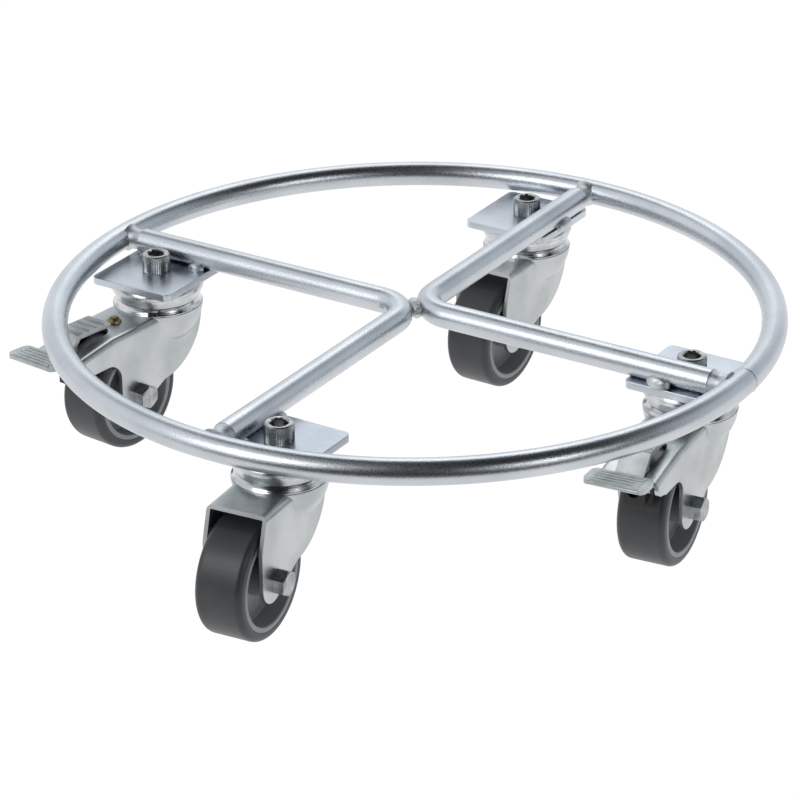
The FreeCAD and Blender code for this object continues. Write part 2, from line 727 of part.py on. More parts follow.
def frame_parts():
    outer_ring = ring()
    bars = {"v_bar_right": v_bar(0), "v_bar_left": v_bar(180)}
    parts = {"ring": outer_ring, "centre_weld": centre_weld(list(bars.values()))}
    parts.update(bars)
    parts["ring_welds"] = ring_welds(outer_ring)
    beads = []
    for name, arm, aside, heading, braked in CASTERS:
        plate = mounting_plate(aside)
        parts["plate_" + name] = on_arm(plate, arm)
        parts["top_cup_" + name] = at_swivel(top_cup(), arm, aside)
        beads += [on_arm(bead, arm) for bead in plate_beads(rod_along_arm(), plate)]
    parts["plate_welds"] = group(beads)
    for node, shape in (("swivel_screws", swivel_screw()), ("swivel_nuts", swivel_nut()),
                        ("bottom_cones", bottom_cone())):
        parts[node] = group([at_swivel(shape, arm, aside) for name, arm, aside, heading, braked in CASTERS])
    return parts


def rod_along_arm():
    arm_bar = rod(bar_r, v_bend_r, arm_end, ALONG)
    arm_bar.translate(Vector(0, 0, bar_z))
    return arm_bar


def caster_parts(braked):
    parts = {"fork": fork(braked), "crown_ring": crown_ring(braked), "bearing_balls": bearing_balls(),
             "axle_bolt": axle_bolt(), "axle_nut": axle_nut(), "axle_sleeve": axle_sleeve(),
             "hub": hub(), "tread": tread()}
    if braked:
        parts.update({"pedal_lever": pedal_lever(), "brake_block": brake_block(), "lever_pin": lever_pin(),
                      "spring_leaf": spring_leaf(), "spring_rivet": spring_rivet()})
    return parts


def main():
    os.makedirs("parts", exist_ok=True)
    parts = frame_parts()
    kinds = {braked: caster_parts(braked) for braked in (True, False)}
    for name, arm, aside, heading, braked in CASTERS:
        for part_name, shape in kinds[braked].items():
            parts[part_name + "_" + name] = on_caster(shape, arm, aside, heading)
    for node, shape in parts.items():
        shape.exportStep("parts/" + node + ".step")
    print(len(parts), "nodes")


main()
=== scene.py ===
import json
import math

import bmesh
import bpy
from mathutils import Matrix, Vector

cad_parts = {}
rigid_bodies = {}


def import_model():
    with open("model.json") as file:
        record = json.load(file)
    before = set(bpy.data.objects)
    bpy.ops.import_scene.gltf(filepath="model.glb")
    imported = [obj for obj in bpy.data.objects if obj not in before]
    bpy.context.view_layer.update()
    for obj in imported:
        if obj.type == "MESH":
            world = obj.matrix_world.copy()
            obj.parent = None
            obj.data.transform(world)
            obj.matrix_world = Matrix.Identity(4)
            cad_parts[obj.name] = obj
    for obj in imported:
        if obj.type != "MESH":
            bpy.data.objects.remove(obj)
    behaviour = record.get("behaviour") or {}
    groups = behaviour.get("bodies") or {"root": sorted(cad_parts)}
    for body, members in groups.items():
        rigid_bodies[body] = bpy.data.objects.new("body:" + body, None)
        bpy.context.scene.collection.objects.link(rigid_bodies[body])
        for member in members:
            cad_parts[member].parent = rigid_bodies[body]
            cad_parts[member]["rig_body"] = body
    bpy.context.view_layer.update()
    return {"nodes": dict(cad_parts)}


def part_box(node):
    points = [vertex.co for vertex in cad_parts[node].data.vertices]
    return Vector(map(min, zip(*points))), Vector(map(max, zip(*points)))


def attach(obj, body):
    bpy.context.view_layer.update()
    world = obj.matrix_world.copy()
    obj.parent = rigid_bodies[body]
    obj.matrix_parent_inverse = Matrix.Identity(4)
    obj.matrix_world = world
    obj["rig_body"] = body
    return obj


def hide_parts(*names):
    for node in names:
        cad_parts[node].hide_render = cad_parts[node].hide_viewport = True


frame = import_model()

# --- Camera ---------------------------------------------------------------------------------------
# A long lens, two metres away and 24 degrees above the dolly, looking between the right and the front
# caster. The small turns aim it a little to the left of the ring's middle and below it.
RING_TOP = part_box("ring")[1].z
BAR_R = 0.008
RING_Z = RING_TOP - BAR_R
camera_side = math.radians(31.9)
camera_rise = math.radians(24.33)
camera_away = 2.0347
aim_left = math.radians(0.2645)
aim_down = math.radians(-1.6044)
camera_roll = math.radians(0.38)

camera_data = bpy.data.cameras.new("camera")
camera_data.lens = 147.77
camera_data.sensor_width = 36
camera_data.clip_end = 50
camera = bpy.data.objects.new("camera", camera_data)
bpy.context.scene.collection.objects.link(camera)
bpy.context.scene.camera = camera
facing = (Matrix.Rotation(camera_side, 4, "Z")
          @ Matrix.Rotation(math.pi / 2 - camera_rise, 4, "X"))
aim = (Matrix.Rotation(aim_left, 4, "Y") @ Matrix.Rotation(aim_down, 4, "X")
       @ Matrix.Rotation(-camera_roll, 4, "Z"))
place = Matrix.Translation((0, 0, RING_Z)) @ facing @ Matrix.Translation((0, 0, camera_away))
camera.matrix_world = place @ aim


# --- Floor and light ------------------------------------------------------------------------------
# A plain pale floor in a tent of soft white cloth. The tent is open and dark overhead and on the side
# that the dolly is seen from, which draws dark bands along every bright round bar.
def linear(hex_colour):
    """An sRGB hex colour as linear RGBA."""
    channels = [int(hex_colour[k:k + 2], 16) / 255 for k in (1, 3, 5)]
    return [c / 12.92 if c <= 0.04045 else ((c + 0.055) / 1.055) ** 2.4 for c in channels] + [1.0]


def add(tree, kind, inputs=None, **settings):
    """Adds a node to a tree, with its settings, and with values or links for its input sockets."""
    made = tree.nodes.new(kind)
    for name, value in settings.items():
        setattr(made, name, value)
    for key, value in (inputs or {}).items():
        if isinstance(value, bpy.types.NodeSocket):
            tree.links.new(value, made.inputs[key])
        else:
            made.inputs[key].default_value = value
    return made


def put(mesh, name, *materials):
    """A mesh as an object at the origin of the row frame."""
    made = bpy.data.objects.new(name, mesh)
    bpy.context.scene.collection.objects.link(made)
    for material in materials:
        made.data.materials.append(material)
    return made


def compass(azimuth, elevation):
    """A direction round the dolly. Azimuth 0 is where it is seen from, and it grows to the viewer's
    right."""
    turn, rise = camera_side + math.radians(azimuth), math.radians(elevation)
    return Vector((math.sin(turn) * math.cos(rise), -math.cos(turn) * math.cos(rise), math.sin(rise)))


world = bpy.data.worlds.new("tent")
bpy.context.scene.world = world
world.use_nodes = True
tent = world.node_tree
tent.nodes.clear()
way = add(tent, "ShaderNodeTexCoord").outputs["Generated"]
light_so_far = linear("#1b1c1f")
# azimuth, elevation, reach and softness of each pale wall of the tent in degrees, and its colour
for azimuth, elevation, reach, soft, colour in (
        (-84, 26, 44, 10, "#f4f7fa"), (40, 20, 15, 7, "#e4e8ec"), (180, 2, 50, 16, "#f6fbff"),
        (112, 10, 30, 14, "#d3dae0")):
    near = add(tent, "ShaderNodeVectorMath", {0: way, 1: compass(azimuth, elevation)},
               operation="DOT_PRODUCT")
    outer, inner = math.cos(math.radians(reach + soft)), math.cos(math.radians(reach - soft))
    wall = add(tent, "ShaderNodeMapRange", {0: near.outputs["Value"], 1: outer, 2: inner},
               interpolation_type="SMOOTHSTEP")
    mixed = add(tent, "ShaderNodeMix", {0: wall.outputs[0], 6: light_so_far, 7: linear(colour)},
                data_type="RGBA")
    light_so_far = mixed.outputs[2]
glow = add(tent, "ShaderNodeBackground", {"Color": light_so_far, "Strength": 1.0})
add(tent, "ShaderNodeOutputWorld", {"Surface": glow.outputs[0]})

# The paper is lit evenly from below, so that it shows no shadow. Towards the viewer its lit part ends
# half a metre out, which the round bars mirror as a dark band.
floor_size = 30.0
floor_seen = 1.02
floor_glow = 0.95
floor_past_edge = 0.05
lit_edge_near = 0.40
lit_edge_far = 0.52
floor_finish = bpy.data.materials.new("white_paper_floor")
floor_finish.use_nodes = True
paper = floor_finish.node_tree
paper.nodes.clear()
spot = add(paper, "ShaderNodeTexCoord").outputs["Object"]
towards = add(paper, "ShaderNodeVectorMath", {0: spot, 1: compass(0, 0)}, operation="DOT_PRODUCT")
lit = add(paper, "ShaderNodeMapRange", {0: towards.outputs["Value"], 1: lit_edge_near, 2: lit_edge_far,
                                        3: floor_glow, 4: floor_past_edge}, interpolation_type="SMOOTHSTEP")
seen = add(paper, "ShaderNodeLightPath").outputs["Is Camera Ray"]
strength = add(paper, "ShaderNodeMix", {0: seen, 2: lit.outputs[0], 3: floor_seen})
sheet = add(paper, "ShaderNodeEmission", {"Color": (1, 1, 1, 1), "Strength": strength.outputs[0]})
add(paper, "ShaderNodeOutputMaterial", {"Surface": sheet.outputs[0]})
corners = [(x * floor_size, y * floor_size, 0) for x, y in ((-1, -1), (1, -1), (1, 1), (-1, 1))]
floor_mesh = bpy.data.meshes.new("floor")
floor_mesh.from_pydata(corners, [], [(0, 1, 2, 3)])
put(floor_mesh, "floor", floor_finish)


dolly_middle = Vector((0, 0, 0.08))


def soft_light(name, where, size, watts):
    """A square white soft box that faces the middle of the dolly."""
    data = bpy.data.lights.new(name, "AREA")
    data.size = size
    data.energy = watts
    light = bpy.data.objects.new(name, data)
    turned = (where - dolly_middle).to_track_quat("Z", "Y").to_matrix().to_4x4()
    light.matrix_world = Matrix.Translation(where) @ turned
    bpy.context.scene.collection.objects.link(light)


soft_light("left_box", compass(-48, 34) * 2.2, 1.0, 9)
soft_light("right_box", compass(40, 28) * 2.2, 0.55, 2.4)
soft_light("back_box", compass(176, 50) * 2.4, 1.2, 5)
bpy.context.scene.view_settings.view_transform = "Standard"


# --- Ring and crossed bars ------------------------------------------------------------------------
# Bright drawn round bar, 16 mm thick. The ring is rolled and butt-welded. The two arms of each V are
# one bar, bent over a former at the middle of the dolly. All of it is zinc plated after welding.
ring_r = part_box("ring")[1].x - BAR_R
v_bend_r = 0.024
arm_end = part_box("v_bar_right")[1].x
bar_sides = 40
ring_steps = 288
bend_steps = 18


def new_tree(name, **sizes):
    """A geometry tree with named inputs for its sizes. Gives the tree, its inputs and their identifiers."""
    tree = bpy.data.node_groups.new(name, "GeometryNodeTree")
    tree.interface.new_socket("Geometry", in_out="OUTPUT", socket_type="NodeSocketGeometry")
    tree.interface.new_socket("Geometry", in_out="INPUT", socket_type="NodeSocketGeometry")
    keys = {}
    for size, value in sizes.items():
        kind = "NodeSocketInt" if isinstance(value, int) else "NodeSocketFloat"
        made = tree.interface.new_socket(size, in_out="INPUT", socket_type=kind)
        made.default_value = value
        keys[size] = made.identifier
    return tree, tree.nodes.new("NodeGroupInput").outputs, keys


def close_tree(tree, geometry, material, smooth=True):
    """Ends a tree: real geometry, shaded smooth if asked, in its material."""
    real = add(tree, "GeometryNodeRealizeInstances", {0: geometry})
    shaded = add(tree, "GeometryNodeSetShadeSmooth", {0: real.outputs[0], 2: smooth})
    set_material = add(tree, "GeometryNodeSetMaterial", {0: shaded.outputs[0], 2: material})
    tree.nodes.new("NodeGroupOutput")
    tree.links.new(set_material.outputs[0], tree.nodes[-1].inputs[0])


def grow(tree, keys, name, material, start=None, sharp=None, **sizes):
    """Runs a tree on a starting mesh and gives the result as a plain object with no modifier."""
    holder = put(start or bpy.data.meshes.new(name + "_start"), name + "_start")
    modifier = holder.modifiers.new("make", "NODES")
    modifier.node_group = tree
    for size, value in sizes.items():
        modifier[keys[size]] = value
    evaluated = holder.evaluated_get(bpy.context.evaluated_depsgraph_get())
    mesh = bpy.data.meshes.new_from_object(evaluated)
    mesh.name = name
    bpy.data.objects.remove(holder)
    if sharp is not None:
        mesh.set_sharp_from_angle(angle=math.radians(sharp))
    mesh.materials.clear()
    return put(mesh, name, material)


def plated(name, light, dark, rough, cloud_mm, speck_mm, speck_depth, spread=0.08):
    """Zinc plate on steel: a bluish metal whose tint drifts over centimetres, with fine crystals that
    break up the edge of each reflection."""
    material = bpy.data.materials.new(name)
    material.use_nodes = True
    tree = material.node_tree
    metal = tree.nodes["Principled BSDF"]
    where = add(tree, "ShaderNodeTexCoord").outputs["Object"]
    cloud = add(tree, "ShaderNodeTexNoise", {"Vector": where, "Scale": 1000 / cloud_mm, "Detail": 3.0})
    tint = add(tree, "ShaderNodeMapRange", {0: cloud.outputs[0], 1: 0.35, 2: 0.65})
    colour = add(tree, "ShaderNodeMix", {0: tint.outputs[0], 6: linear(dark), 7: linear(light)},
                 data_type="RGBA")
    speck = add(tree, "ShaderNodeTexNoise",
                {"Vector": where, "Scale": 1000 / speck_mm, "Detail": 4.0, "Roughness": 0.6})
    dull = add(tree, "ShaderNodeMapRange",
               {0: speck.outputs[0], 1: 0.3, 2: 0.7, 3: rough, 4: rough + spread})
    relief = add(tree, "ShaderNodeBump",
                 {"Height": speck.outputs[0], "Distance": speck_depth / 1000, "Strength": 1.0})
    metal.inputs["Metallic"].default_value = 1.0
    tree.links.new(colour.outputs[2], metal.inputs["Base Color"])
    tree.links.new(dull.outputs[0], metal.inputs["Roughness"])
    tree.links.new(relief.outputs[0], metal.inputs["Normal"])
    return material


# Bright zinc on drawn bar: a satin shine with a fine speckle where light meets dark.
bar_zinc = plated("bright_zinc_on_drawn_bar", "#d3d7dc", "#c1c6cc", 0.25, 60, 0.8, 0.10)

tree, given, keys = new_tree("rolled_ring", Radius=0.2, Bar=0.01, Height=0.1)
circle = add(tree, "GeometryNodeCurvePrimitiveCircle",
             {"Resolution": ring_steps, "Radius": given["Radius"]})
section = add(tree, "GeometryNodeCurvePrimitiveCircle", {"Resolution": bar_sides, "Radius": given["Bar"]})
swept = add(tree, "GeometryNodeCurveToMesh", {0: circle.outputs[0], 1: section.outputs[0]})
lift = add(tree, "ShaderNodeCombineXYZ", {2: given["Height"]})
lifted = add(tree, "GeometryNodeSetPosition", {0: swept.outputs[0], "Offset": lift.outputs[0]})
close_tree(tree, lifted.outputs[0], bar_zinc)
ring = grow(tree, keys, "ring_bar", bar_zinc, Radius=ring_r, Bar=BAR_R, Height=RING_Z)
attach(ring, "frame")
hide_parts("ring")

tree, given, keys = new_tree("bent_bar", Bend=0.02, Bar=0.01)
line = add(tree, "GeometryNodeMeshToCurve", {0: given["Geometry"]})
bent = add(tree, "GeometryNodeFilletCurve",
           {0: line.outputs[0], "Radius": given["Bend"], "Count": bend_steps}, mode="POLY")
section = add(tree, "GeometryNodeCurvePrimitiveCircle", {"Resolution": bar_sides, "Radius": given["Bar"]})
swept = add(tree, "GeometryNodeCurveToMesh", {0: bent.outputs[0], 1: section.outputs[0], "Fill Caps": True})
close_tree(tree, swept.outputs[0], bar_zinc)
for side, sign in (("right", 1), ("left", -1)):
    path = bpy.data.meshes.new("v_path")
    corners = [(sign * arm_end, 0, RING_Z), (0, 0, RING_Z), (0, sign * arm_end, RING_Z)]
    path.from_pydata(corners, [(0, 1), (1, 2)], [])
    v_bar = grow(tree, keys, "bent_bar_" + side, bar_zinc, start=path, sharp=60,
                 Bend=v_bend_r, Bar=BAR_R)
    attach(v_bar, "frame")
    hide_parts("v_bar_" + side)


# --- Welds ----------------------------------------------------------------------------------------
# Gas-shielded welds, plated with the rest: a neck from each arm's end to the ring, a fill between the
# two bends, short beads between arms and plates, and the low seam where the ring's own ends meet.
ring_inner = ring_r - BAR_R
neck_r = 0.0077
neck_into_arm = 0.0006
neck_into_ring = 0.0035
# how the neck's radius changes from the arm (0) to the ring (1), as shares of neck_r
neck_waist = ((0.0, 0.99), (0.2, 0.93), (0.5, 0.86), (0.8, 0.94), (1.0, 1.16))
waist_scale = 1.2   # the curve node holds values up to 1, so its values are divided by this
seam_turn = math.radians(3)
seam_bead_r = 0.0009
seam_r = BAR_R - 0.0006
plate_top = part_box("plate_right")[1].z

# Plated weld metal: rounder and softer than the bar, with ripples a millimetre or two apart.
weld_zinc = plated("zinc_on_weld_metal", "#dadddf", "#bfc4c8", 0.4, 9, 1.6, 0.16, 0.12)


def lumpy(tree, geometry, lump_mm, height_mm, seed):
    """Pushes a surface in and out along its normals by soft noise."""
    noise = add(tree, "ShaderNodeTexNoise", {"Scale": 1000 / lump_mm, "Detail": 2.0, "W": float(seed)},
                noise_dimensions="4D")
    centred = add(tree, "ShaderNodeMath", {0: noise.outputs[0], 1: 0.5}, operation="SUBTRACT")
    amount = add(tree, "ShaderNodeMath", {0: centred.outputs[0], 1: 2 * height_mm / 1000},
                 operation="MULTIPLY")
    normal = add(tree, "GeometryNodeInputNormal")
    push = add(tree, "ShaderNodeVectorMath", {0: normal.outputs[0], 3: amount.outputs[0]},
               operation="SCALE")
    return add(tree, "GeometryNodeSetPosition", {0: geometry, "Offset": push.outputs[0]}).outputs[0]


def four_arms(tree, geometry):
    """The same geometry on each of the four arms, made real."""
    points = add(tree, "GeometryNodeMeshLine", {"Count": 4, "Offset": (0, 0, 0)}, mode="OFFSET")
    index = add(tree, "GeometryNodeInputIndex")
    quarter = add(tree, "ShaderNodeMath", {0: index.outputs[0], 1: math.pi / 2}, operation="MULTIPLY")
    turn = add(tree, "ShaderNodeCombineXYZ", {2: quarter.outputs[0]})
    copies = add(tree, "GeometryNodeInstanceOnPoints",
                 {"Points": points.outputs[0], "Instance": geometry, "Rotation": turn.outputs[0]})
    return add(tree, "GeometryNodeRealizeInstances", {0: copies.outputs[0]}).outputs[0]


tree, given, keys = new_tree("weld_necks", Start=0.2, End=0.21, Neck=0.006, Seam=0.01, Ring=0.2,
                             Height=0.1)
start = add(tree, "ShaderNodeCombineXYZ", {0: given["Start"], 2: given["Height"]})
end = add(tree, "ShaderNodeCombineXYZ", {0: given["End"], 2: given["Height"]})
run = add(tree, "GeometryNodeCurvePrimitiveLine", {"Start": start.outputs[0], "End": end.outputs[0]})
fine = add(tree, "GeometryNodeResampleCurve", {0: run.outputs[0], "Count": 14})
share = add(tree, "GeometryNodeSplineParameter").outputs["Factor"]
waist = add(tree, "ShaderNodeFloatCurve", {"Value": share})
points = waist.mapping.curves[0].points
for at, value in neck_waist:
    if at in (0.0, 1.0):
        points[0 if at == 0 else len(points) - 1].location = (at, value / waist_scale)
    else:
        points.new(at, value / waist_scale)
waist.mapping.update()
width = add(tree, "ShaderNodeMath", {0: waist.outputs[0], 1: given["Neck"]}, operation="MULTIPLY")
section = add(tree, "GeometryNodeCurvePrimitiveCircle", {"Resolution": 36, "Radius": waist_scale})
shaped = add(tree, "GeometryNodeSetCurveRadius", {0: fine.outputs[0], "Radius": width.outputs[0]})
neck = add(tree, "GeometryNodeCurveToMesh",
           {0: shaped.outputs[0], 1: section.outputs[0], "Scale": width.outputs[0], "Fill Caps": True})
necks = lumpy(tree, four_arms(tree, neck.outputs[0]), 5.5, 0.6, 3)
loop = add(tree, "GeometryNodeCurvePrimitiveCircle", {"Resolution": 72, "Radius": given["Seam"]})
bead_section = add(tree, "GeometryNodeCurvePrimitiveCircle", {"Resolution": 10, "Radius": seam_bead_r})
hoop = add(tree, "GeometryNodeCurveToMesh", {0: loop.outputs[0], 1: bead_section.outputs[0]})
out_to_ring = add(tree, "ShaderNodeCombineXYZ", {0: given["Ring"], 2: given["Height"]})
upright = add(tree, "GeometryNodeTransform",
              {0: hoop.outputs[0], "Translation": out_to_ring.outputs[0], "Rotation": (math.pi / 2, 0, 0)})
swung = add(tree, "GeometryNodeTransform", {0: upright.outputs[0], "Rotation": (0, 0, seam_turn)})
seam = lumpy(tree, swung.outputs[0], 2.2, 0.35, 8)
both = add(tree, "GeometryNodeJoinGeometry", {0: necks})
tree.links.new(seam, both.inputs[0])
close_tree(tree, both.outputs[0], weld_zinc)
ring_welds = grow(tree, keys, "ring_weld_metal", weld_zinc, sharp=70,
                  Start=arm_end - neck_into_arm, End=ring_inner + neck_into_ring,
                  Neck=neck_r, Seam=seam_r, Ring=ring_r, Height=RING_Z)
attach(ring_welds, "frame")
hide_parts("ring_welds")

# Each bead between an arm and its plate: its place along the arm, its side, length, height and rise.
bead_rows = (("Inner", 1, 1.6, 1.05, 0.0), ("Outer", 1, 1.5, 1.05, 0.0),
             ("Outside", -1.08, 2.3, 1.3, 0.0012))
tree, given, keys = new_tree("weld_beads", Inner=0.16, Outer=0.2, Outside=0.17, Aside=0.007,
                             Height=0.1, Size=0.003)
ball = add(tree, "GeometryNodeMeshIcoSphere", {"Radius": given["Size"], "Subdivisions": 4})
beads = add(tree, "GeometryNodeJoinGeometry")
for name, side, long, tall, rise in bead_rows:
    aside = add(tree, "ShaderNodeMath", {0: given["Aside"], 1: side}, operation="MULTIPLY")
    level = add(tree, "ShaderNodeMath", {0: given["Height"], 1: rise}, operation="ADD")
    spot = add(tree, "ShaderNodeCombineXYZ", {0: given[name], 1: aside.outputs[0], 2: level.outputs[0]})
    bead = add(tree, "GeometryNodeTransform",
               {0: ball.outputs[0], "Translation": spot.outputs[0], "Scale": (long, 1.0, tall)})
    tree.links.new(bead.outputs[0], beads.inputs[0])
close_tree(tree, lumpy(tree, four_arms(tree, beads.outputs[0]), 4.0, 0.7, 5), weld_zinc)
plate_beads = grow(tree, keys, "plate_weld_metal", weld_zinc, Inner=0.1605, Outer=0.199, Outside=0.1745,
                   Aside=0.0072, Height=plate_top + 0.0012, Size=0.0035)
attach(plate_beads, "frame")
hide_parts("plate_welds")

tree, given, keys = new_tree("middle_weld", Across=0.004, Along=0.01, Tall=0.006)
ball = add(tree, "GeometryNodeMeshIcoSphere", {"Radius": 1.0, "Subdivisions": 5})
stretch = add(tree, "ShaderNodeCombineXYZ", {0: given["Across"], 1: given["Along"], 2: given["Tall"]})
long_ball = add(tree, "GeometryNodeTransform", {0: ball.outputs[0], "Scale": stretch.outputs[0]})
turned_ball = add(tree, "GeometryNodeTransform",
                  {0: long_ball.outputs[0], "Translation": (0, 0, RING_Z), "Rotation": (0, 0, math.pi / 4)})
close_tree(tree, lumpy(tree, turned_ball.outputs[0], 3.2, 0.9, 2), weld_zinc)
middle_weld = grow(tree, keys, "middle_weld_metal", weld_zinc,
                   Across=0.0046, Along=0.0100, Tall=0.0056)
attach(middle_weld, "frame")
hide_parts("centre_weld")


# --- Mounting plates ------------------------------------------------------------------------------
# Four square plates cut from 5 mm flat steel, one welded under each arm. Shearing and plating leave
# their edges a little rounded.
# the four casters, and whether each one has a brake
CASTERS = {"right": True, "back": False, "left": True, "front": False}

# Bright zinc on rolled plate: smoother than the bar, with a pale blue cast.
plate_zinc = plated("bright_zinc_on_rolled_plate", "#ced4db", "#b9c0c8", 0.26, 45, 0.8, 0.03)


def eased(node, name, edge, *materials, angle=32, segments=2):
    """A copy of a CAD node with its sharp edges rounded, which then stands for the node."""
    source = frame["nodes"][node]
    shape = bmesh.new()
    shape.from_mesh(source.data)
    bmesh.ops.remove_doubles(shape, verts=shape.verts, dist=1e-6)
    bmesh.ops.dissolve_limit(shape, angle_limit=math.radians(0.6), verts=shape.verts, edges=shape.edges)
    mesh = bpy.data.meshes.new(name)
    shape.to_mesh(mesh)
    shape.free()
    for face in mesh.polygons:
        face.use_smooth = True
    made = put(mesh, name, *materials)
    bevel = made.modifiers.new("edge", "BEVEL")
    bevel.width = edge
    bevel.segments = segments
    bevel.limit_method = "ANGLE"
    bevel.angle_limit = math.radians(angle)
    flat_faces_first = made.modifiers.new("shade", "WEIGHTED_NORMAL")
    flat_faces_first.weight = 80
    evaluated = made.evaluated_get(bpy.context.evaluated_depsgraph_get())
    finished = bpy.data.meshes.new_from_object(evaluated)
    bpy.data.objects.remove(made)
    made = put(finished, name)
    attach(made, source["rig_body"])
    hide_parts(node)


for name in CASTERS:
    eased("plate_" + name, "welded_plate_" + name, 0.0005, plate_zinc)


# --- Swivel screws --------------------------------------------------------------------------------
# Socket-head cap screws down through plate and cup, with straight knurling round the head and a
# hexagon socket, held by a nut under the lower race.
screw_axes = [Vector(((lo.x + hi.x) / 2, (lo.y + hi.y) / 2, 0))
              for lo, hi in (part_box("top_cup_" + name) for name in CASTERS)]
screw_head_r = 0.009
screw_head_h = 0.012
screw_r = 0.006
screw_length = 0.040
knurls = 48
knurl_depth = 0.00022
socket_r = 0.00577
socket_deep = 0.007

# Thin zinc on a hardened screw: darker and warmer than the bars.
screw_zinc = plated("thin_zinc_on_hardened_screw", "#bdbfbf", "#929494", 0.2, 6, 0.6, 0.02, 0.12)


def lathe(points, name, steps, ripple):
    """A mesh turned round the vertical axis from (radius, height) points. The ripple changes the
    radius with the angle and the point's number."""
    verts, faces = [], []
    for k in range(steps):
        a = 2 * math.pi * k / steps
        for n, (r, z) in enumerate(points):
            rippled = ripple(n, a, r)
            verts.append((rippled * math.cos(a), rippled * math.sin(a), z))
    count = len(points)
    for k in range(steps):
        after = (k + 1) % steps
        for n in range(count - 1):
            here, there = k * count + n, after * count + n
            faces.append((here, there, there + 1, here + 1))
    mesh = bpy.data.meshes.new(name)
    mesh.from_pydata(verts, [], faces)
    shape = bmesh.new()
    shape.from_mesh(mesh)
    bmesh.ops.remove_doubles(shape, verts=shape.verts, dist=1e-7)
    bmesh.ops.recalc_face_normals(shape, faces=shape.faces)
    shape.to_mesh(mesh)
    shape.free()
    for face in mesh.polygons:
        face.use_smooth = True
    return mesh


tip = plate_top - screw_length
top = plate_top + screw_head_h
screw_profile = [
    (0.0, tip), (screw_r - 0.001, tip), (screw_r, tip + 0.001), (screw_r, plate_top),
    (screw_head_r - 0.0005, plate_top), (screw_head_r, plate_top + 0.0008),
    (screw_head_r, top - 0.0014), (screw_head_r - 0.0004, top - 0.0005), (screw_head_r - 0.0012, top),
    (socket_r + 0.0003, top), (socket_r, top - 0.0006), (socket_r, top - socket_deep),
    (0.0, top - socket_deep - 0.001),
]
knurled_points = (5, 6)
hexagon_points = (10, 11)


def screw_ripple(n, a, r):
    """The screw's radius at an angle: knurled round the head, a hexagon in the socket."""
    if n in knurled_points:
        return r - knurl_depth * (1 + math.cos(knurls * a))
    if n in hexagon_points:
        sector = (a + math.pi / 6) % (math.pi / 3) - math.pi / 6
        return r * math.cos(math.pi / 6) / math.cos(sector)
    return r


screw_mesh = lathe(screw_profile, "cap_screw", knurls * 6, screw_ripple)
spots = bpy.data.meshes.new("screw_spots")
spots.from_pydata([tuple(p) for p in screw_axes], [], [])
screw_source = put(screw_mesh, "cap_screw_source", screw_zinc)
tree, given, keys = new_tree("screws_on_axes", Turn=0.4)
info = add(tree, "GeometryNodeObjectInfo", {"Object": screw_source})
index = add(tree, "GeometryNodeInputIndex")
spin = add(tree, "ShaderNodeMath", {0: index.outputs[0], 1: given["Turn"]}, operation="MULTIPLY")
spin_way = add(tree, "ShaderNodeCombineXYZ", {2: spin.outputs[0]})
copies = add(tree, "GeometryNodeInstanceOnPoints",
             {"Points": given["Geometry"], "Instance": info.outputs["Geometry"],
              "Rotation": spin_way.outputs[0]})
close_tree(tree, copies.outputs[0], screw_zinc)
screws = grow(tree, keys, "cap_screws", screw_zinc, start=spots, sharp=30, Turn=0.37)
bpy.data.objects.remove(screw_source)
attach(screws, "frame")
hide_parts("swivel_screws")
eased("swivel_nuts", "swivel_lock_nuts", 0.0003, screw_zinc)


# --- Swivel heads ---------------------------------------------------------------------------------
# Two rows of balls between pressed races: a bulged cup that stays with the plate, and a crown ring
# that turns with the fork. The pressings are polished by their dies and plated to a shine.


def turned_zinc(name, light, dark, rough, groove_mm, groove_depth):
    """Zinc over a turned or drawn surface: fine rings round the upright axis smear each reflection
    upwards and downwards."""
    material = plated(name, light, dark, rough, 12, 0.8, 0.01, 0.05)
    tree = material.node_tree
    metal = tree.nodes["Principled BSDF"]
    where = add(tree, "ShaderNodeTexCoord").outputs["Object"]
    level = add(tree, "ShaderNodeSeparateXYZ", {0: where}).outputs["Z"]
    rings = add(tree, "ShaderNodeMath", {0: level, 1: 1000 / groove_mm}, operation="MULTIPLY")
    groove = add(tree, "ShaderNodeTexNoise", {"W": rings.outputs[0], "Scale": 1.0, "Detail": 2.0},
                 noise_dimensions="1D")
    relief = add(tree, "ShaderNodeBump",
                 {"Height": groove.outputs[0], "Distance": groove_depth / 1000, "Strength": 1.0})
    tree.links.new(relief.outputs[0], metal.inputs["Normal"])
    return material


# Bright zinc on a drawn cup and a turned race: shiny, with rings too fine to count, drawn 0.7 mm apart
# so that their upright streaks of light show.
cup_zinc = turned_zinc("bright_zinc_on_drawn_cup", "#dcdee0", "#c2c5c7", 0.16, 0.7, 0.16)
race_zinc = turned_zinc("bright_zinc_on_turned_race", "#dcdee0", "#bfc2c4", 0.14, 0.7, 0.10)
# Hardened steel with a film of oil: warm grey and shiny.
ball_steel = plated("oiled_bearing_steel", "#b8b6b0", "#8d8a84", 0.2, 8, 0.6, 0.01, 0.1)
for name in CASTERS:
    eased("top_cup_" + name, "upper_cup_" + name, 0.0002, cup_zinc, angle=40)
    eased("crown_ring_" + name, "crown_race_" + name, 0.0003, race_zinc, angle=40)
    balls = frame["nodes"]["bearing_balls_" + name].data
    balls.materials.clear()
    balls.materials.append(ball_steel)
eased("bottom_cones", "lower_races", 0.0003, race_zinc, angle=40)


# --- Forks ----------------------------------------------------------------------------------------
# Each fork is one piece of 2.5 mm sheet, pressed to a round crown and two cheeks, then zinc plated.

# Zinc plated in a barrel: satin and pale on the flat cheeks.
sheet_zinc = plated("satin_zinc_on_pressed_sheet", "#c9cdcd", "#b4b9b9", 0.26, 26, 0.8, 0.03, 0.12)
for name in CASTERS:
    eased("fork_" + name, "pressed_fork_" + name, 0.00045, sheet_zinc)


